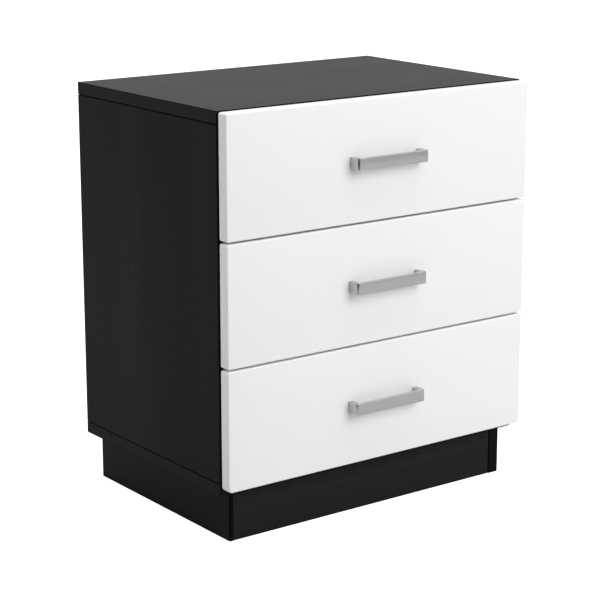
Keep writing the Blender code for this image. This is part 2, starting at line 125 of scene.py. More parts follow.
def mixColours(material, factor, first, second):
    node = addNode(material, "ShaderNodeMix", data_type="RGBA")
    join(material, factor, node.inputs["Factor"])
    for socket, value in ((node.inputs[6], first), (node.inputs[7], second)):
        if isinstance(value, tuple):
            socket.default_value = (*value, 1)
        else:
            join(material, value, socket)
    return node.outputs[2]


def addBump(material, shader, height, strength, distance):
    bump = addNode(material, "ShaderNodeBump")
    bump.inputs["Strength"].default_value = strength
    bump.inputs["Distance"].default_value = distance
    join(material, height, bump.inputs["Height"])
    join(material, bump.outputs["Normal"], shader.inputs["Normal"])


def objectCoordinate(material):
    return addNode(material, "ShaderNodeTexCoord").outputs["Object"]


blackBoard = {
    "lightBand": (0.0104, 0.0104, 0.0106),
    "darkBand": (0.0068, 0.0068, 0.0069),
    "grainLine": (0.0165, 0.0165, 0.0168),
    "pore": (0.0045, 0.0045, 0.005),
    # the plain banding on a board's edges; the plinth sides darken it to a painted shade
    "edgeBand": (0.0095, 0.0095, 0.0093),
    # near-black for every slanted face: a glue line, with painted shade in the joints between boards
    "glueAndJointShade": (0.0012, 0.0012, 0.0012),
    "roughness": 0.38,
    "specular": 0.06,
    "bands": (0.45, 8),  # cells per metre along the grain and across it
    "lines": (1.7, 560),
    "groups": (0.5, 15),
    "pores": (24, 1300),
    "longWander": (2.4, 0.007),  # cells per metre, and how far a line strays
    "shortWander": (9, 0.0016),
    "relief": 0.00009,
    "glossSwing": 0.025,
    # a board's own tone, and on the plinth boards a painted light that brightens them
    "tint": (1, 1, 1),
}


def strayFrom(material, place, scale, reach):
    # Moves a pattern sideways by a slow noise
    noise = addNode(material, "ShaderNodeTexNoise")
    noise.inputs["Scale"].default_value = scale
    noise.inputs["Detail"].default_value = 1.5
    join(material, place, noise.inputs["Vector"])
    centred = addNode(material, "ShaderNodeVectorMath", operation="SUBTRACT")
    centred.inputs[1].default_value = (0.5, 0.5, 0.5)
    join(material, noise.outputs["Color"], centred.inputs[0])
    sideways = addNode(material, "ShaderNodeVectorMath", operation="SCALE")
    sideways.inputs["Scale"].default_value = reach
    join(material, centred.outputs["Vector"], sideways.inputs[0])
    moved = addNode(material, "ShaderNodeVectorMath", operation="ADD")
    join(material, place, moved.inputs[0])
    join(material, sideways.outputs["Vector"], moved.inputs[1])
    return moved.outputs["Vector"]


def makeBlackBoard(name, grainAxis, faceAxis, shift, **changes):
    # Printed wood grain on a board's two faces, plain banding on its edges, and dark slanted faces between
    # them: a glue line with painted shade in the joints between boards
    look = {**blackBoard, "colour": blackBoard["darkBand"], **changes}
    material, shader = newMaterial(name, look)
    start = addNode(material, "ShaderNodeMapping")
    start.inputs["Location"].default_value = shift
    join(material, objectCoordinate(material), start.inputs["Vector"])
    place = start.outputs["Vector"]
    for scale, reach in (look["longWander"], look["shortWander"]):
        place = strayFrom(material, place, scale, reach)

    def grainNoise(size, detail, roughness=0.5):
        along, across = size
        scale = tuple(along if axis == grainAxis else across for axis in axes)
        return noiseAt(material, place, scale, detail, roughness)

    # A colour scaled by the board's tone and by its painted light lift
    def tinted(colour):
        return tuple(share * tone for share, tone in zip(colour, look["tint"]))

    lines = grainNoise(look["lines"], 4, 0.6)
    lineShare = remap(material, lines, 0.50, 0.68, 0, 1)
    groupShare = remap(material, grainNoise(look["groups"], 2), 0.45, 0.64, 0.05, 1)
    bandShare = remap(material, grainNoise(look["bands"], 2), 0.38, 0.62, 0, 1)
    poreShare = remap(material, grainNoise(look["pores"], 2), 0.62, 0.74, 0, 0.55)
    lineShare = combine(material, "MULTIPLY", lineShare, groupShare)
    grain = mixColours(material, bandShare, tinted(look["darkBand"]), tinted(look["lightBand"]))
    grain = mixColours(material, lineShare, grain, tinted(look["grainLine"]))
    grain = mixColours(material, poreShare, grain, look["pore"])

    normal = addNode(material, "ShaderNodeSeparateXYZ")
    join(material, addNode(material, "ShaderNodeTexCoord").outputs["Normal"], normal.inputs[0])
    facing = [combine(material, "ABSOLUTE", normal.outputs[axis], 0) for axis in range(3)]
    onFace = combine(material, "GREATER_THAN", facing[axes[faceAxis]], 0.9)
    flattest = combine(material, "MAXIMUM", combine(material, "MAXIMUM", facing[0], facing[1]), facing[2])
    # Slanted faces get a near-black colour and more roughness: a glue line, with painted shade in the joints
    # between boards
    onShadedChamfer = combine(material, "LESS_THAN", flattest, 0.9)
    colour = mixColours(material, onFace, look["edgeBand"], grain)
    colour = mixColours(material, onShadedChamfer, colour, look["glueAndJointShade"])
    join(material, colour, shader.inputs["Base Color"])

    dull, shiny = look["roughness"] + look["glossSwing"], look["roughness"] - look["glossSwing"]
    gloss = remap(material, lines, 0.3, 0.7, dull, shiny)
    dullChamfer = combine(material, "MULTIPLY", onShadedChamfer, 0.5)
    join(material, combine(material, "ADD", gloss, dullChamfer), shader.inputs["Roughness"])
    height = combine(material, "SUBTRACT", lineShare, poreShare)
    addBump(material, shader, combine(material, "MULTIPLY", height, onFace), 0.5, look["relief"])
    return material


whiteFront = {
    "colour": (0.87, 0.87, 0.87),
    "cooler": (0.865, 0.866, 0.868),
    "roughness": 0.34,
    "specular": 0.35,
    "relief": 0.000012,
}


def makeWhiteFront():
    # Smooth satin lacquer film with the faintest ripple of the board under it
    look = whiteFront
    material, shader = newMaterial("whiteFront", look)
    place = objectCoordinate(material)
    ripple = noiseAt(material, place, (160, 160, 160), 3)
    grit = noiseAt(material, place, (2600, 2600, 2600), 2)
    soft = remap(material, noiseAt(material, place, (5, 5, 5), 2), 0.3, 0.7, 0, 1)
    join(material, mixColours(material, soft, look["cooler"], look["colour"]), shader.inputs["Base Color"])
    join(material, remap(material, grit, 0.3, 0.7, 0.31, 0.37), shader.inputs["Roughness"])
    addBump(material, shader, ripple, 0.35, look["relief"])
    return material


whiteBox = {
    "colour": (0.78, 0.78, 0.765),
    "greyer": (0.755, 0.755, 0.74),
    "roughness": 0.46,
    "specular": 0.4,
    "relief": 0.00003,
}


def makeWhiteBox():
    # Matt white melamine of the drawer boxes, with a pearl texture
    look = whiteBox
    material, shader = newMaterial("whiteBox", look)
    place = objectCoordinate(material)
    pearl = noiseAt(material, place, (1100, 1100, 1100), 3)
    cloud = noiseAt(material, place, (9, 9, 9), 3)
    tone = remap(material, cloud, 0.3, 0.7, 0, 1)
    join(material, mixColours(material, tone, look["greyer"], look["colour"]), shader.inputs["Base Color"])
    join(material, remap(material, pearl, 0.35, 0.65, 0.4, 0.52), shader.inputs["Roughness"])
    addBump(material, shader, pearl, 0.4, look["relief"])
    return material


whiteBase = {
    "colour": (0.74, 0.735, 0.71),
    "fleck": (0.5, 0.45, 0.38),
    "roughness": 0.55,
    "specular": 0.35,
    "relief": 0.00004,
}


def makeWhiteBase():
    # Thin fibreboard with a white printed face and a faint brownish fleck
    look = whiteBase
    material, shader = newMaterial("whiteBase", look)
    place = objectCoordinate(material)
    fibre = noiseAt(material, place, (1400, 420, 1400), 4, 0.65)
    fleck = remap(material, noiseAt(material, place, (900, 900, 900), 2), 0.66, 0.74, 0, 0.35)
    colour = mixColours(material, fleck, look["colour"], look["fleck"])
    join(material, colour, shader.inputs["Base Color"])
    join(material, remap(material, fibre, 0.3, 0.7, 0.5, 0.62), shader.inputs["Roughness"])
    addBump(material, shader, fibre, 0.4, look["relief"])
    return material


satinMetal = {
    "colour": (0.53, 0.535, 0.54),
    "valley": (0.5, 0.505, 0.515),
    "ridge": (0.56, 0.565, 0.57),
    "roughness": 0.32,
    "metallic": 1,
    "anisotropic": 0.35,
    "relief": 0.000012,
}


def makeSatinMetal():
    # Satin-plated handles, brushed along their length
    look = satinMetal
    material, shader = newMaterial("satinMetal", look)
    place = objectCoordinate(material)
    brush = noiseAt(material, place, (60, 2400, 5200), 4, 0.6)
    haze = noiseAt(material, place, (38, 38, 38), 3)
    tone = remap(material, brush, 0.3, 0.7, 0, 1)
    join(material, mixColours(material, tone, look["valley"], look["ridge"]), shader.inputs["Base Color"])
    brushedGloss = remap(material, brush, 0.3, 0.7, 0.27, 0.35)
    hazyGloss = remap(material, haze, 0.3, 0.7, -0.02, 0.03)
    join(material, combine(material, "ADD", brushedGloss, hazyGloss), shader.inputs["Roughness"])
    addBump(material, shader, brush, 0.5, look["relief"])
    return material


coatedSteel = {
    "colour": (0.72, 0.715, 0.69),
    "rubbed": (0.6, 0.6, 0.585),
    "roughness": 0.4,
    "specular": 0.5,
    "relief": 0.00005,
}


def makeCoatedSteel():
    # Cream epoxy powder on the runners, a little orange-peeled and rubbed where things slide
    look = coatedSteel
    material, shader = newMaterial("coatedSteel", look)
    place = objectCoordinate(material)
    peel = noiseAt(material, place, (420, 420, 420), 3)
    rub = remap(material, noiseAt(material, place, (700, 6, 260), 3), 0.58, 0.75, 0, 0.5)
    join(material, mixColours(material, rub, look["colour"], look["rubbed"]), shader.inputs["Base Color"])
    join(material, remap(material, peel, 0.3, 0.7, 0.34, 0.46), shader.inputs["Roughness"])
    addBump(material, shader, peel, 0.5, look["relief"])
    return material


nylon = {
    "colour": (0.8, 0.79, 0.75),
    "grimy": (0.6, 0.59, 0.55),
    "roughness": 0.38,
    "specular": 0.45,
    "scatter": 0.12,
    "scatterReach": (0.004, 0.0035, 0.003),
    "relief": 0.00002,
}


def makeNylon():
    # Moulded rollers, slightly translucent, with a dull tread
    look = nylon
    material, shader = newMaterial("nylon", look)
    shader.inputs["Subsurface Weight"].default_value = look["scatter"]
    shader.inputs["Subsurface Radius"].default_value = look["scatterReach"]
    place = objectCoordinate(material)
    flow = noiseAt(material, place, (300, 300, 300), 3)
    grime = remap(material, noiseAt(material, place, (1800, 140, 140), 3), 0.55, 0.8, 0, 0.6)
    join(material, mixColours(material, grime, look["colour"], look["grimy"]), shader.inputs["Base Color"])
    join(material, remap(material, flow, 0.3, 0.7, 0.32, 0.46), shader.inputs["Roughness"])
    addBump(material, shader, flow, 0.3, look["relief"])
    return material


zincPlate = {
    "colour": (0.62, 0.63, 0.65),
    "blue": (0.6, 0.62, 0.66),
    "straw": (0.66, 0.64, 0.58),
    "roughness": 0.3,
    "metallic": 1,
    "relief": 0.00003,
}


def makeZincPlate():
    # Bright zinc on the screws, clouded blue and straw
    look = zincPlate
    material, shader = newMaterial("zincPlate", look)
    place = objectCoordinate(material)
    cloud = remap(material, noiseAt(material, place, (240, 240, 240), 3), 0.35, 0.65, 0, 1)
    grain = noiseAt(material, place, (3200, 3200, 3200), 2)
    join(material, mixColours(material, cloud, look["blue"], look["straw"]), shader.inputs["Base Color"])
    join(material, remap(material, cloud, 0, 1, 0.26, 0.38), shader.inputs["Roughness"])
    addBump(material, shader, grain, 0.4, look["relief"])
    return material


blackPlastic = {
    "colour": (0.014, 0.014, 0.015),
    "faded": (0.02, 0.02, 0.021),
    "roughness": 0.45,
    "specular": 0.4,
    "relief": 0.00004,
}


def makeBlackPlastic():
    # Spark-eroded moulding texture on the caps and clips
    look = blackPlastic
    material, shader = newMaterial("blackPlastic", look)
    place = objectCoordinate(material)
    spark = noiseAt(material, place, (1700, 1700, 1700), 3)
    tone = remap(material, noiseAt(material, place, (60, 60, 60), 2), 0.3, 0.7, 0, 1)
    join(material, mixColours(material, tone, look["colour"], look["faded"]), shader.inputs["Base Color"])
    join(material, remap(material, spark, 0.3, 0.7, 0.4, 0.52), shader.inputs["Roughness"])
    addBump(material, shader, spark, 0.5, look["relief"])
    return material


finishes = {
    "sideBoard": makeBlackBoard("blackSideBoard", "z", "x", (0.13, 0, 0.31)),
    "flatBoard": makeBlackBoard("blackFlatBoard", "x", "z", (0, 0.27, 0)),
    "backBoard": makeBlackBoard("blackBackBoard", "z", "y", (0.4, 0, 0.2)),
    # The plinth's front and back boards are a little bluer, their own tone, and brightened 1.4 to 1.6 times,
    # a painted light against the shade under the drawers
    "plinthFront": makeBlackBoard("blackPlinthFront", "x", "y", (0.7, 0, 0.05), tint=(1.38, 1.5, 1.62)),
    # The plinth's side boards are brightened by a fifth, a painted light where the shade card darkens them,
    # and their banded edges are darkened to a painted shade
    "plinthSide": makeBlackBoard(
        "blackPlinthSide", "y", "x", (0.2, 0.6, 0), edgeBand=(0.003, 0.0032, 0.003), tint=(1.2, 1.2, 1.2)
    ),
    "whiteFront": makeWhiteFront(),
    "whiteBox": makeWhiteBox(),
    "whiteBase": makeWhiteBase(),
    "satinMetal": makeSatinMetal(),
    "coatedSteel": makeCoatedSteel(),
    "nylon": makeNylon(),
    "zincPlate": makeZincPlate(),
    "blackPlastic": makeBlackPlastic(),
}
print("finishes made:", len(finishes))


boardFinishes = {
    "top_panel": "flatBoard",
    "bottom_panel": "flatBoard",
    "side_panel_left": "sideBoard",
    "side_panel_right": "sideBoard",
    "back_panel": "backBoard",
    "plinth_front": "plinthFront",
    "plinth_back": "plinthFront",
    "plinth_side_left": "plinthSide",
    "plinth_side_right": "plinthSide",
}


def finishFor(node):
    if node in boardFinishes:
        return boardFinishes[node]
    if "runner" in node:
        return "coatedSteel"
    if "roller" in node:
        return "nylon"
    if "screw" in node:
        return "zincPlate"
    if "handle" in node:
        return "satinMetal"
    if node.endswith("_front"):
        return "whiteFront"
    if node.endswith("_base"):
        return "whiteBase"
    return "whiteBox"


for nodeName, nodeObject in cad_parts.items():
    nodeObject.data.materials.clear()
    nodeObject.data.materials.append(finishes[finishFor(nodeName)])
print("boards and runners finished")


noShift = (0, 0, 0)
turnsTo = {"x": (0, math.pi / 2, 0), "y": (math.pi / 2, 0, 0), "z": noShift}
near = 0.01 * mm


def stopEditing():
    if bpy.context.mode != "OBJECT":
        bpy.ops.object.mode_set(mode="OBJECT")
    bpy.ops.object.select_all(action="DESELECT")


def useOnly(piece):
    stopEditing()
    piece.select_set(True)
    bpy.context.view_layer.objects.active = piece


def placeInMesh(name):
    piece = bpy.context.object
    piece.name = name
    useOnly(piece)
    bpy.ops.object.transform_apply(location=True, rotation=True, scale=True)
    return piece


def addBlock(name, low, high):
    low, high = Vector(low), Vector(high)
    stopEditing()
    bpy.ops.mesh.primitive_cube_add(size=1, location=(low + high) / 2, scale=high - low)
    return placeInMesh(name)


def addRod(name, centre, radius, length, axis, corners=48):
    stopEditing()
    bpy.ops.mesh.primitive_cylinder_add(
        vertices=corners, radius=radius, depth=length, location=centre, rotation=turnsTo[axis]
    )
    return placeInMesh(name)


def pick(piece, kind, wanted):
    # Opens a piece in edit mode with only the wanted corners, edges or faces selected
    useOnly(piece)
    bpy.ops.object.mode_set(mode="EDIT")
    bpy.ops.mesh.select_mode(type=kind)
    bpy.ops.mesh.select_all(action="DESELECT")
    shape = bmesh.from_edit_mesh(piece.data)
    for part in {"VERT": shape.verts, "EDGE": shape.edges, "FACE": shape.faces}[kind]:
        if wanted(part):
            part.select_set(True)
    bmesh.update_edit_mesh(piece.data)


def runsAlong(edge, axis):
    span = edge.verts[1].co - edge.verts[0].co
    return abs(span[axes[axis]]) > 0.99 * span.length


def liesAt(part, axis, place):
    return all(abs(vert.co[axes[axis]] - place) < near for vert in part.verts)


def roundEdges(piece, wanted, radius, steps):
    pick(piece, "EDGE", wanted)
    bpy.ops.mesh.bevel(offset=radius, offset_type="OFFSET", segments=steps, profile=0.5, affect="EDGES")


def easeEdges(piece, width, steps=2, angle=40):
    useOnly(piece)
    easing = piece.modifiers.new("ease", "BEVEL")
    easing.width = width
    easing.segments = steps
    easing.limit_method = "ANGLE"
    easing.angle_limit = math.radians(angle)
    bpy.ops.object.modifier_apply(modifier=easing.name)


def cutAway(piece, cutter):
    useOnly(piece)
    cutting = piece.modifiers.new("cut", "BOOLEAN")
    cutting.object = cutter
    cutting.operation = "DIFFERENCE"
    cutting.solver = "EXACT"
    bpy.ops.object.modifier_apply(modifier=cutting.name)
    bpy.data.objects.remove(cutter)


def smooth(piece, angle=35):
    useOnly(piece)
    bpy.ops.object.shade_smooth_by_angle(angle=math.radians(angle))


def copyOf(piece, name, shift=noShift, flip=False):
    # Another of the same piece, moved, or first mirrored from left to right
    useOnly(piece)
    bpy.ops.object.duplicate()
    twin = bpy.context.object
    if flip:
        twin.scale.x = -1
    twin.location = shift
    placeInMesh(name)
    if flip:
        pick(twin, "VERT", lambda vert: True)
        bpy.ops.mesh.remove_doubles(threshold=0.001 * mm)
        bpy.ops.mesh.normals_make_consistent(inside=False)
        useOnly(twin)
    return twin


def attach(piece, body, slotName, finish, *standsFor):
    piece.data.materials.clear()
    piece.data.materials.append(finishes[finish])
    if standsFor:
        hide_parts(*standsFor)
    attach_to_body(piece, body)


def crossCutter(centre, width, length, depth, axis):
    # Two crossed bars, as a screwdriver's tip
    size = Vector((length, length, length))
    size[axes[axis]] = 2 * depth
    bars = []
    for thin in (name for name in axes if name != axis):
        reach = size.copy()
        reach[axes[thin]] = width
        bars.append(addBlock("bar", Vector(centre) - reach / 2, Vector(centre) + reach / 2))
    useOnly(bars[0])
    merging = bars[0].modifiers.new("cross", "BOOLEAN")
    merging.object = bars[1]
    merging.operation = "UNION"
    merging.solver = "EXACT"
    bpy.ops.object.modifier_apply(modifier=merging.name)
    bpy.data.objects.remove(bars[1])
    return bars[0]


frontLook = {
    "corner": 3 * mm,
    "footCorner": 5.5 * mm,  # the lowest front's two lower corners
    "arris": 2 * mm,
    "rearEase": 1.4 * mm,
    "fine": 8,
    "room": 0.3 * mm,
    "drill": 60 * mm,
}


def makeFront(level, footCorner):
    # Round corners and arrises, a groove for the drawer's base and holes for the handle's screws
    low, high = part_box(f"drawer_{level}_front")
    baseLow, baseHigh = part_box(f"drawer_{level}_base")
    middleZ = (low.z + high.z) / 2
    front = addBlock(f"front_{level}", low, high)

    def upperCorner(edge):
        return runsAlong(edge, "y") and edge.verts[0].co.z > middleZ

    def lowerCorner(edge):
        return runsAlong(edge, "y") and edge.verts[0].co.z < middleZ - (high.z - low.z) / 4

    roundEdges(front, upperCorner, frontLook["corner"], frontLook["fine"])
    roundEdges(front, lowerCorner, footCorner, frontLook["fine"])
    roundEdges(front, lambda edge: liesAt(edge, "y", low.y), frontLook["arris"], frontLook["fine"])
    roundEdges(front, lambda edge: liesAt(edge, "y", high.y), frontLook["rearEase"], 5)
    room = Vector((frontLook["room"],) * 3)
    cutAway(front, addBlock("baseGroove", baseLow - room, baseHigh + room))
    for side in sides:
        screwLow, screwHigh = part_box(f"drawer_{level}_handle_screw_{side}")
        screwMiddle = (screwLow + screwHigh) / 2
        cutAway(front, addRod("screwHole", screwMiddle, handleScrewLook["hole"], frontLook["drill"], "y", 24))
    smooth(front)
    return front


def makeFronts():
    # Two are alike, and the lowest has rounder corners at its foot
    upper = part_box("drawer_top_front")[0]
    top = makeFront("top", frontLook["corner"])
    middle = copyOf(top, "front_middle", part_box("drawer_middle_front")[0] - upper)
    bottom = makeFront("bottom", frontLook["footCorner"])
    for level, piece in zip(levels, (top, middle, bottom)):
        attach(piece, f"drawer_{level}", "white_front", "whiteFront", f"drawer_{level}_front")


handleLook = {
    "bar": 5 * mm,
    "leg": 6.5 * mm,
    "outerRadius": 4 * mm,
    "innerRadius": 1.5 * mm,
    "arris": 0.55 * mm,
    "threadDepth": 11 * mm,
}
handleScrewLook = {
    "hole": 2.2 * mm,
    "shaft": 1.9 * mm,
    "head": 2.4 * mm,
    "dome": 1.5 * mm,
    "crossWidth": 1.05 * mm,
    "crossLength": 4.2 * mm,
    "crossDepth": 1.3 * mm,
    "shrink": 0.02 * mm,  # of the head inside its CAD outline
    "tip": 0.7,  # width of the shaft's end, of the shaft's
}


def makeHandles():
    # A flat bar, cut near both ends, with its legs drawn back to the drawer front
    low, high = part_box("drawer_top_handle")
    barRear = low.y + handleLook["bar"]
    legInner = high.x - handleLook["leg"]
    handle = addBlock("handle_top", low, (high.x, barRear, high.z))
    for place in (-legInner, legInner):
        pick(handle, "FACE", lambda face: True)
        bpy.ops.mesh.bisect(plane_co=(place, 0, 0), plane_no=(1, 0, 0))

    def onLeg(face):
        return face.normal.y > 0.9 and abs(face.calc_center_median().x) > legInner

    pick(handle, "FACE", onLeg)
    bpy.ops.mesh.extrude_region_move(TRANSFORM_OT_translate={"value": (0, high.y - barRear, 0)})

    def outerCorner(edge):
        outward = abs(edge.verts[0].co.x)
        return runsAlong(edge, "z") and liesAt(edge, "y", low.y) and outward > high.x - near

    def innerCorner(edge):
        outward = abs(edge.verts[0].co.x)
        return runsAlong(edge, "z") and liesAt(edge, "y", barRear) and outward < legInner + near

    roundEdges(handle, outerCorner, handleLook["outerRadius"], 10)
    roundEdges(handle, innerCorner, handleLook["innerRadius"], 6)
    easeEdges(handle, handleLook["arris"], 3, 50)
    for side in sides:
        screwLow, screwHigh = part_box(f"drawer_top_handle_screw_{side}")
        threadEnd = Vector(((screwLow.x + screwHigh.x) / 2, high.y, (screwLow.z + screwHigh.z) / 2))
        hole = addRod("thread", threadEnd, handleScrewLook["hole"], 2 * handleLook["threadDepth"], "y", 24)
        cutAway(handle, hole)
    smooth(handle)
    pieces = {"top": handle}
    for level in levels[1:]:
        pieces[level] = copyOf(handle, f"handle_{level}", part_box(f"drawer_{level}_handle")[0] - low)
    for level, piece in pieces.items():
        attach(piece, f"drawer_{level}", "handle_metal", "satinMetal", f"drawer_{level}_handle")


def makeHandleScrews():
    # A domed head inside the drawer, with its threaded shaft reaching into the handle
    look = handleScrewLook
    low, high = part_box("drawer_top_handle_screw_left")
    middle = (low + high) / 2
    headMiddle = Vector((middle.x, high.y - look["head"] / 2, middle.z))
    headRadius = (high.x - low.x) / 2
    screw = addRod("handleScrew", headMiddle, headRadius - look["shrink"], look["head"], "y", 40)
    pick(screw, "FACE", lambda face: face.normal.y < -0.9)
    bpy.ops.mesh.inset(thickness=headRadius - look["shaft"])
    bpy.ops.mesh.extrude_region_move(TRANSFORM_OT_translate={"value": (0, low.y - high.y + look["head"], 0)})
    pick(screw, "FACE", lambda face: liesAt(face, "y", low.y))
    bpy.ops.transform.resize(value=(look["tip"], 1, look["tip"]), center_override=(middle.x, low.y, middle.z))
    roundEdges(screw, lambda edge: liesAt(edge, "y", high.y), look["dome"], 6)
    seat = Vector((middle.x, high.y, middle.z))
    cutAway(screw, crossCutter(seat, look["crossWidth"], look["crossLength"], look["crossDepth"], "y"))
    smooth(screw)
    for level in levels:
        for side in sides:
            node = f"drawer_{level}_handle_screw_{side}"
            piece = copyOf(screw, f"handle_screw_{level}_{side}_fine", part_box(node)[0] - low)
            attach(piece, f"drawer_{level}", "screw_metal", "zincPlate", node)
    bpy.data.objects.remove(screw)


rollerLook = {
    "rim": 1.3 * mm,
    "slope": 0.4 * mm,
    "dish": 0.7 * mm,
    "dishWidth": 2.4 * mm,
    "hubRise": 0.6 * mm,
    "bore": 3.3 * mm,
    "treadEase": 0.8 * mm,
    "corners": 48,
    "cornersPerRib": 8,
    "ribRise": 0.45 * mm,
}


def makeRollers():
    # A dished wheel with a raised hub, a bore and ribs between hub and rim on both faces
    look = rollerLook
    low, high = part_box("cabinet_roller_top_left")
    centre = (low + high) / 2
    radius = (high.z - low.z) / 2
    roller = addRod("roller", centre, radius, high.x - low.x, "x", look["corners"])
    pick(roller, "FACE", lambda face: abs(face.normal.x) > 0.9)
    bpy.ops.mesh.inset(thickness=look["rim"])
    bpy.ops.mesh.inset(thickness=look["slope"], depth=-look["dish"])
    bpy.ops.mesh.inset(thickness=look["dishWidth"])
    bpy.ops.mesh.inset(thickness=look["slope"], depth=look["hubRise"])
    hubRadius = radius - look["rim"] - 2 * look["slope"] - look["dishWidth"]
    bpy.ops.mesh.inset(thickness=hubRadius - look["bore"])
    bpy.ops.mesh.delete(type="FACE")
    pick(roller, "EDGE", lambda edge: edge.is_boundary)
    bpy.ops.mesh.bridge_edge_loops()
    floorX = (high.x - low.x) / 2 - look["dish"]
    for side in (-1, 1):

        def onRib(face):
            middle = face.calc_center_median() - centre
            turn = math.degrees(math.atan2(middle.z, middle.y)) % 360
            step = int(turn * look["corners"] / 360)
            return abs(middle.x - side * floorX) < near and step % look["cornersPerRib"] == 0

        pick(roller, "FACE", onRib)
        bpy.ops.mesh.extrude_region_move(TRANSFORM_OT_translate={"value": (side * look["ribRise"], 0, 0)})

    def onTreadEdge(edge):
        away = [(vert.co.yz - centre.yz).length for vert in edge.verts]
        return min(away) > radius - near and not runsAlong(edge, "x")

    roundEdges(roller, onTreadEdge, look["treadEase"], 3)
    smooth(roller)
    for level in levels:
        for side in sides:
            for node in (f"cabinet_roller_{level}_{side}", f"drawer_{level}_roller_{side}"):
                piece = copyOf(roller, f"{node}_wheel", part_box(node)[0] - low)
                attach(piece, node, "nylon", "nylon", node)
    bpy.data.objects.remove(roller)


runnerLook = {
    "slotLength": 16 * mm,
    "slotHeight": 4.6 * mm,
    "holeRadius": 2.6 * mm,
    "slotShares": (0.24, 0.66),
    "holeShares": (0.36, 0.78),
    "ease": 0.25 * mm,
    "drill": 40 * mm,
}
runnerBodies = {
    "cabinet_runner_{level}_{side}": "carcass",
    "drawer_{level}_runner_{side}": "drawer_{level}",
}


def copyOfNode(node, name):
    # A CAD node's shape again, with its loose triangles joined and its flat faces whole
    stopEditing()
    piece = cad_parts[node].copy()
    piece.data = piece.data.copy()
    piece.name = name
    piece.parent = None
    piece.matrix_world.identity()
    bpy.context.collection.objects.link(piece)
    pick(piece, "VERT", lambda vert: True)
    bpy.ops.mesh.remove_doubles(threshold=0.002 * mm)
    bpy.ops.mesh.dissolve_limited(angle_limit=math.radians(1))
    return piece


def slotCutter(centre, length, height, reach):
    # A bar with round ends, long along Y and wide enough to pass through a web along X
    half = Vector((reach, length / 2, height / 2))
    bar = addBlock("slot", Vector(centre) - half, Vector(centre) + half)
    roundEdges(bar, lambda edge: runsAlong(edge, "x"), height / 2 - near, 6)
    return bar


def makeRunner(node, name):
    # The CAD's runner with slots and holes stamped in its web, and its edges eased
    look = runnerLook
    low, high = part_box(node)
    runner = copyOfNode(node, name)

    def webPlace(share):
        return Vector((low.x, low.y + share * (high.y - low.y), (low.z + high.z) / 2))

    for share in look["slotShares"]:
        cutAway(runner, slotCutter(webPlace(share), look["slotLength"], look["slotHeight"], look["drill"]))
    for share in look["holeShares"]:
        cutAway(runner, addRod("hole", webPlace(share), look["holeRadius"], 2 * look["drill"], "x", 24))
    easeEdges(runner, look["ease"], 2, 50)
    smooth(runner)
    return runner


def makeRunners():
    # Each pattern and side is shaped once, at the top, and copied down
    for pattern, body in runnerBodies.items():
        for side in sides:
            first = pattern.format(level="top", side=side)
            runner = makeRunner(first, "runner")
            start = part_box(first)[0]
            for level in levels:
                node = pattern.format(level=level, side=side)
                piece = copyOf(runner, f"{node}_stamped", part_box(node)[0] - start)
                attach(piece, body.format(level=level), "runner_metal", "coatedSteel", node)
            bpy.data.objects.remove(runner)


runnerScrewLook = {
    "radius": 3.1 * mm,
    "rise": 0.5 * mm,
    "ease": 0.25 * mm,
    "crossWidth": 0.9 * mm,
    "crossLength": 3.4 * mm,
    "crossDepth": 0.35 * mm,
    "shares": (0.12, 0.5, 0.85),  # along a runner, from its front end
}
runnerWebs = {  # distance of each web's visible face from the middle, and which way the left one faces
    "cabinet_runner_{level}_{side}": (222.52 * mm, 1),
    "drawer_{level}_runner_{side}": (212.82 * mm, -1),
}


def makeRunnerScrew(alongY, height):
    # A countersunk head standing a little out of a runner's web, towards +X
    look = runnerScrewLook
    outer = look["rise"]
    screw = addRod("runnerScrew", (outer / 2, alongY, height), look["radius"], look["rise"], "x", 32)
    roundEdges(screw, lambda edge: liesAt(edge, "x", outer), look["ease"], 3)
    crossAt = (outer, alongY, height)
    cutAway(screw, crossCutter(crossAt, look["crossWidth"], look["crossLength"], look["crossDepth"], "x"))
    smooth(screw)
    return screw


def addRunnerScrews():
    # Three to a runner: the cabinet's screws face the drawer, and a drawer's face the cabinet
    for pattern, (webFace, facing) in runnerWebs.items():
        low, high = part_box(pattern.format(level="top", side="left"))
        for number, share in enumerate(runnerScrewLook["shares"], 1):
            screw = makeRunnerScrew(low.y + share * (high.y - low.y), (low.z + high.z) / 2)
            for level in levels:
                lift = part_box(pattern.format(level=level, side="left"))[0].z - low.z
                body = runnerBodies[pattern].format(level=level)
                for side, sign in sides.items():
                    name = f"{pattern.format(level=level, side=side)}_screw_{number}"
                    piece = copyOf(screw, name, (sign * webFace, 0, lift), sign * facing > 0)
                    attach(piece, body, "screw_metal", "zincPlate")
            bpy.data.objects.remove(screw)


boxScrewLook = {
    "radius": 4.6 * mm,
    "rise": 0.45 * mm,
    "ease": 0.2 * mm,
    "room": 0.02 * mm,
    "socket": 2.3 * mm,
    "socketDepth": 0.35 * mm,
    "shares": (0.3, 0.8),  # of the back's height
}


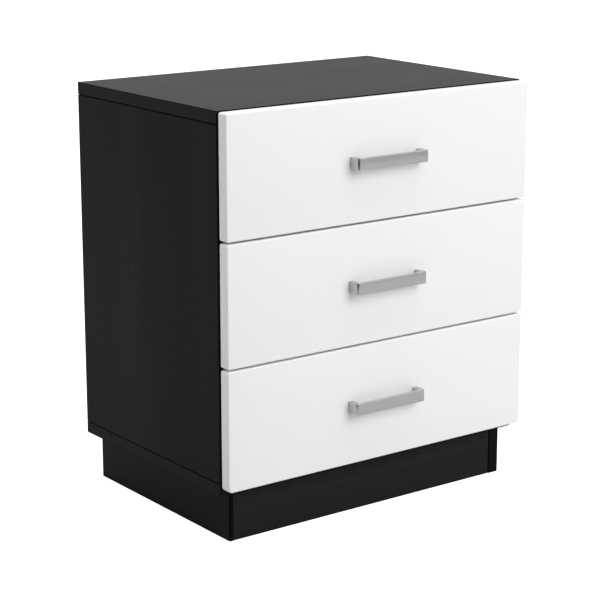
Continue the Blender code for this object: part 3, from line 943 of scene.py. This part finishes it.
def addBoxScrews():
    # Socket-headed screws through a box's sides into the ends of its back
    look = boxScrewLook
    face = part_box("drawer_top_side_right")[1].x + look["room"]
    outer = face + look["rise"]
    backLow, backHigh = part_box("drawer_top_back")
    alongY = (backLow.y + backHigh.y) / 2
    for number, share in enumerate(look["shares"], 1):
        height = backLow.z + share * (backHigh.z - backLow.z)
        middle = (face + look["rise"] / 2, alongY, height)
        screw = addRod("boxScrew", middle, look["radius"], look["rise"], "x", 36)
        roundEdges(screw, lambda edge: liesAt(edge, "x", outer), look["ease"], 3)
        socketDepth = 2 * look["socketDepth"]
        cutAway(screw, addRod("socket", (outer, alongY, height), look["socket"], socketDepth, "x", 6))
        smooth(screw)
        for level in levels:
            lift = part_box(f"drawer_{level}_back")[0].z - backLow.z
            for side, sign in sides.items():
                piece = copyOf(screw, f"box_screw_{level}_{side}_{number}", (0, 0, lift), sign < 0)
                attach(piece, f"drawer_{level}", "screw_metal", "zincPlate")
        bpy.data.objects.remove(screw)


camLook = {
    "radius": 7.4 * mm,
    "rise": 0.5 * mm,
    "room": 0.02 * mm,
    "fromFront": 24 * mm,
    "shares": (0.22, 0.76),  # of the height from the base to the box's upper edge
    "rim": 0.9 * mm,
    "step": 0.15 * mm,
    "crossWidth": 1.6 * mm,
    "crossLength": 8 * mm,
    "crossDepth": 0.35 * mm,
}


def addCams():
    # The fittings inside a box that hold its sides to the drawer front
    look = camLook
    sideLow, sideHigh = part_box("drawer_top_side_left")
    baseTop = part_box("drawer_top_base")[1].z
    face = sideHigh.x + look["room"]
    outer = face + look["rise"]
    alongY = sideLow.y + look["fromFront"]
    for number, share in enumerate(look["shares"], 1):
        height = baseTop + share * (sideHigh.z - baseTop)
        middle = (face + look["rise"] / 2, alongY, height)
        cam = addRod("cam", middle, look["radius"], look["rise"], "x", 48)
        pick(cam, "FACE", lambda face: liesAt(face, "x", outer))
        bpy.ops.mesh.inset(thickness=look["rim"])
        bpy.ops.mesh.inset(thickness=look["step"], depth=-look["step"])
        crossAt = (outer, alongY, height)
        cutAway(cam, crossCutter(crossAt, look["crossWidth"], look["crossLength"], look["crossDepth"], "x"))
        smooth(cam)
        for level in levels:
            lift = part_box(f"drawer_{level}_side_left")[0].z - sideLow.z
            for side, sign in sides.items():
                piece = copyOf(cam, f"box_cam_{level}_{side}_{number}", (0, 0, lift), sign > 0)
                attach(piece, f"drawer_{level}", "screw_metal", "zincPlate")
        bpy.data.objects.remove(cam)


capLook = {
    "radius": 8.6 * mm,
    "rise": 1.2 * mm,
    "dome": 0.7 * mm,
    "room": 0.02 * mm,
    "fromTop": 34 * mm,
    "fromBottom": 44 * mm,
    "fromFront": 52 * mm,
    "fromRear": 66 * mm,
}


def addCaps():
    # Black caps over the carcass fittings, on the inner faces of its sides
    look = capLook
    low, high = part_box("side_panel_left")
    face = high.x + look["room"]
    outer = face + look["rise"]
    places = [(end, along) for end in ("upper", "lower") for along in ("front", "rear")]
    heights = {"upper": high.z - look["fromTop"], "lower": low.z + look["fromBottom"]}
    depths = {"front": low.y + look["fromFront"], "rear": high.y - look["fromRear"]}
    for end, along in places:
        middle = (face + look["rise"] / 2, depths[along], heights[end])
        cap = addRod("cap", middle, look["radius"], look["rise"], "x", 48)
        roundEdges(cap, lambda edge: liesAt(edge, "x", outer), look["dome"], 4)
        smooth(cap)
        for side, sign in sides.items():
            piece = copyOf(cap, f"fitting_cap_{end}_{along}_{side}", noShift, sign > 0)
            attach(piece, "carcass", "black_board", "blackPlastic")
        bpy.data.objects.remove(cap)


wedgeLook = {
    "length": 26 * mm,
    "reach": 14 * mm,
    "thick": 7 * mm,
    "toe": 2.2 * mm,
    "ease": 0.8 * mm,
    "room": 0.1 * mm,
    "shares": (0.15, 0.5, 0.85),  # of the side panel's height
    "screwRadius": 3.4 * mm,
    "screwLength": 2 * mm,
    "screwDome": 0.8 * mm,
    "screwReach": 0.42,  # where the screw stands, of the clip's reach and thickness
    "screwRise": 0.72,
    "crossWidth": 0.9 * mm,
    "crossLength": 3.6 * mm,
    "crossDepth": 0.8 * mm,
}


def addBackWedges():
    # Sloping clips that press the back board into its grooves, each under one screw
    look = wedgeLook
    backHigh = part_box("back_panel")[1]
    sideLow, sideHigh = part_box("side_panel_left")
    rear = backHigh.y + look["room"]
    wall = sideHigh.x + look["room"]
    for number, share in enumerate(look["shares"], 1):
        middleZ = sideLow.z + share * (sideHigh.z - sideLow.z)
        wedge = addBlock(
            "wedge",
            (wall, rear, middleZ - look["length"] / 2),
            (wall + look["reach"], rear + look["thick"], middleZ + look["length"] / 2),
        )

        def onToe(vert):
            return vert.co.x > wall + look["reach"] - near and vert.co.y > rear + look["thick"] - near

        pick(wedge, "VERT", onToe)
        bpy.ops.transform.translate(value=(0, look["toe"] - look["thick"], 0))
        easeEdges(wedge, look["ease"], 3, 20)
        smooth(wedge)
        screwX = wall + look["screwReach"] * look["reach"]
        screwY = rear + look["screwRise"] * look["thick"]
        screwMiddle = (screwX, screwY, middleZ)
        screw = addRod("wedgeScrew", screwMiddle, look["screwRadius"], look["screwLength"], "y", 32)
        top = screwY + look["screwLength"] / 2
        roundEdges(screw, lambda edge: liesAt(edge, "y", top), look["screwDome"], 4)
        crossAt = (screwX, top, middleZ)
        cutAway(screw, crossCutter(crossAt, look["crossWidth"], look["crossLength"], look["crossDepth"], "y"))
        smooth(screw)
        for side, sign in sides.items():
            piece = copyOf(wedge, f"back_wedge_{side}_{number}", noShift, sign > 0)
            attach(piece, "carcass", "black_board", "blackPlastic")
            piece = copyOf(screw, f"back_wedge_screw_{side}_{number}", noShift, sign > 0)
            attach(piece, "carcass", "screw_metal", "zincPlate")
        for used in (wedge, screw):
            bpy.data.objects.remove(used)


makeFronts()
makeHandles()
makeHandleScrews()
print("fronts and handles made")
makeRollers()
makeRunners()
print("rollers and runners made")
addRunnerScrews()
addBoxScrews()
addCams()
addCaps()
addBackWedges()
print("fittings added")


floorLook = {"radius": 16, "drop": 0.2 * mm, "colour": (0.6, 0.6, 0.6), "roughness": 0.9, "specular": 0}


def makeFloor():
    # The camera sees it white, and all other light falls on a pale grey
    bpy.ops.mesh.primitive_circle_add(
        vertices=96, radius=floorLook["radius"], fill_type="NGON", location=(0, 0, -floorLook["drop"])
    )
    floor = bpy.context.object
    floor.name = "floor"
    material, shader = newMaterial("paleFloor", floorLook)
    shader.inputs["Emission Color"].default_value = (1, 1, 1, 1)
    seen = addNode(material, "ShaderNodeLightPath").outputs["Is Camera Ray"]
    join(material, seen, shader.inputs["Emission Strength"])
    floor.data.materials.append(material)


lamps = {
    "frontHighBox": {"at": (0.6, -3.4, 2.5), "size": (3.4, 2.3), "power": 89},
    "rightBox": {"at": (3.0, -0.2, 1.2), "size": (1.8, 1.8), "power": 12},
    "rightRearBox": {"at": (2.1, 2.8, 1.2), "size": (2.6, 1.7), "power": 2},
    "rearBox": {"at": (-0.6, 3.3, 2.6), "size": (2.2, 1.6), "power": 14},
    "leftRearBox": {"at": (-2.6, 1.7, 1.1), "size": (1.5, 1.5), "power": 17},
    "overheadBox": {"at": (0.0, -0.3, 2.7), "size": (1.8, 1.8), "power": 24},
}
shadeCard = {
    "azimuth": 55,
    "distance": 1.3,
    "width": 1.9,
    "height": 1.1,
    "colour": (0.02, 0.02, 0.02),
    "roughness": 0.9,
    "specular": 0,
}


def makeShadeCard():
    # A dark card beside the camera, which the metal's corners mirror and the camera doesn't see
    turn, away = math.radians(shadeCard["azimuth"]), shadeCard["distance"]
    place = (-math.sin(turn) * away, -math.cos(turn) * away, shadeCard["height"] / 2)
    bpy.ops.mesh.primitive_plane_add(size=1, location=place, rotation=(math.pi / 2, 0, -turn))
    card = bpy.context.object
    card.name = "shadeCard"
    card.scale = (shadeCard["width"], shadeCard["height"], 1)
    card.visible_camera = False
    card.data.materials.append(newMaterial("shadeCard", shadeCard)[0])


def makeLamp(name, lamp, aim):
    bpy.ops.object.light_add(type="AREA", location=lamp["at"])
    light = bpy.context.object
    light.name = name
    light.data.shape = "RECTANGLE"
    light.data.size, light.data.size_y = lamp["size"]
    light.data.energy = lamp["power"]
    light.rotation_euler = (aim - Vector(lamp["at"])).to_track_quat("-Z", "Y").to_euler()


skyLook = {"strength": 0.58}


def makeSky():
    # White to the camera, and dimmer as a light
    world = bpy.data.worlds.new("studioSky")
    bpy.context.scene.world = world
    world.use_nodes = True
    sky = world.node_tree
    background = sky.nodes["Background"]
    background.inputs["Color"].default_value = (1, 1, 1, 1)
    seen = sky.nodes.new("ShaderNodeLightPath")
    level = sky.nodes.new("ShaderNodeMapRange")
    level.inputs["To Min"].default_value = skyLook["strength"]
    level.inputs["To Max"].default_value = 1
    sky.links.new(seen.outputs["Is Camera Ray"], level.inputs["Value"])
    sky.links.new(level.outputs["Result"], background.inputs["Strength"])


viewFrom = {
    "azimuth": 36.59,
    "elevation": 14.17,
    "distance": 2.519,
    "lens": 113.64,
    "aimFromMiddle": (-0.0115, 0.0023, -0.0202),
}


def makeCamera(middle):
    turn, tilt = math.radians(viewFrom["azimuth"]), math.radians(viewFrom["elevation"])
    aim = middle + Vector(viewFrom["aimFromMiddle"])
    back = Vector((-math.sin(turn) * math.cos(tilt), -math.cos(turn) * math.cos(tilt), math.sin(tilt)))
    bpy.ops.object.camera_add(
        location=aim + viewFrom["distance"] * back, rotation=(math.pi / 2 - tilt, 0, -turn)
    )
    camera = bpy.context.object
    camera.data.lens = viewFrom["lens"]
    camera.data.clip_start = 0.01
    camera.data.clip_end = 100
    bpy.context.scene.camera = camera


cabinetMiddle = (cadBox[0] + cadBox[1]) / 2
makeFloor()
for lampName, lampLook in lamps.items():
    makeLamp(lampName, lampLook, cabinetMiddle)
makeShadeCard()
makeSky()
makeCamera(cabinetMiddle)
bpy.context.scene.view_settings.view_transform = "Standard"
print("floor, light and camera set")
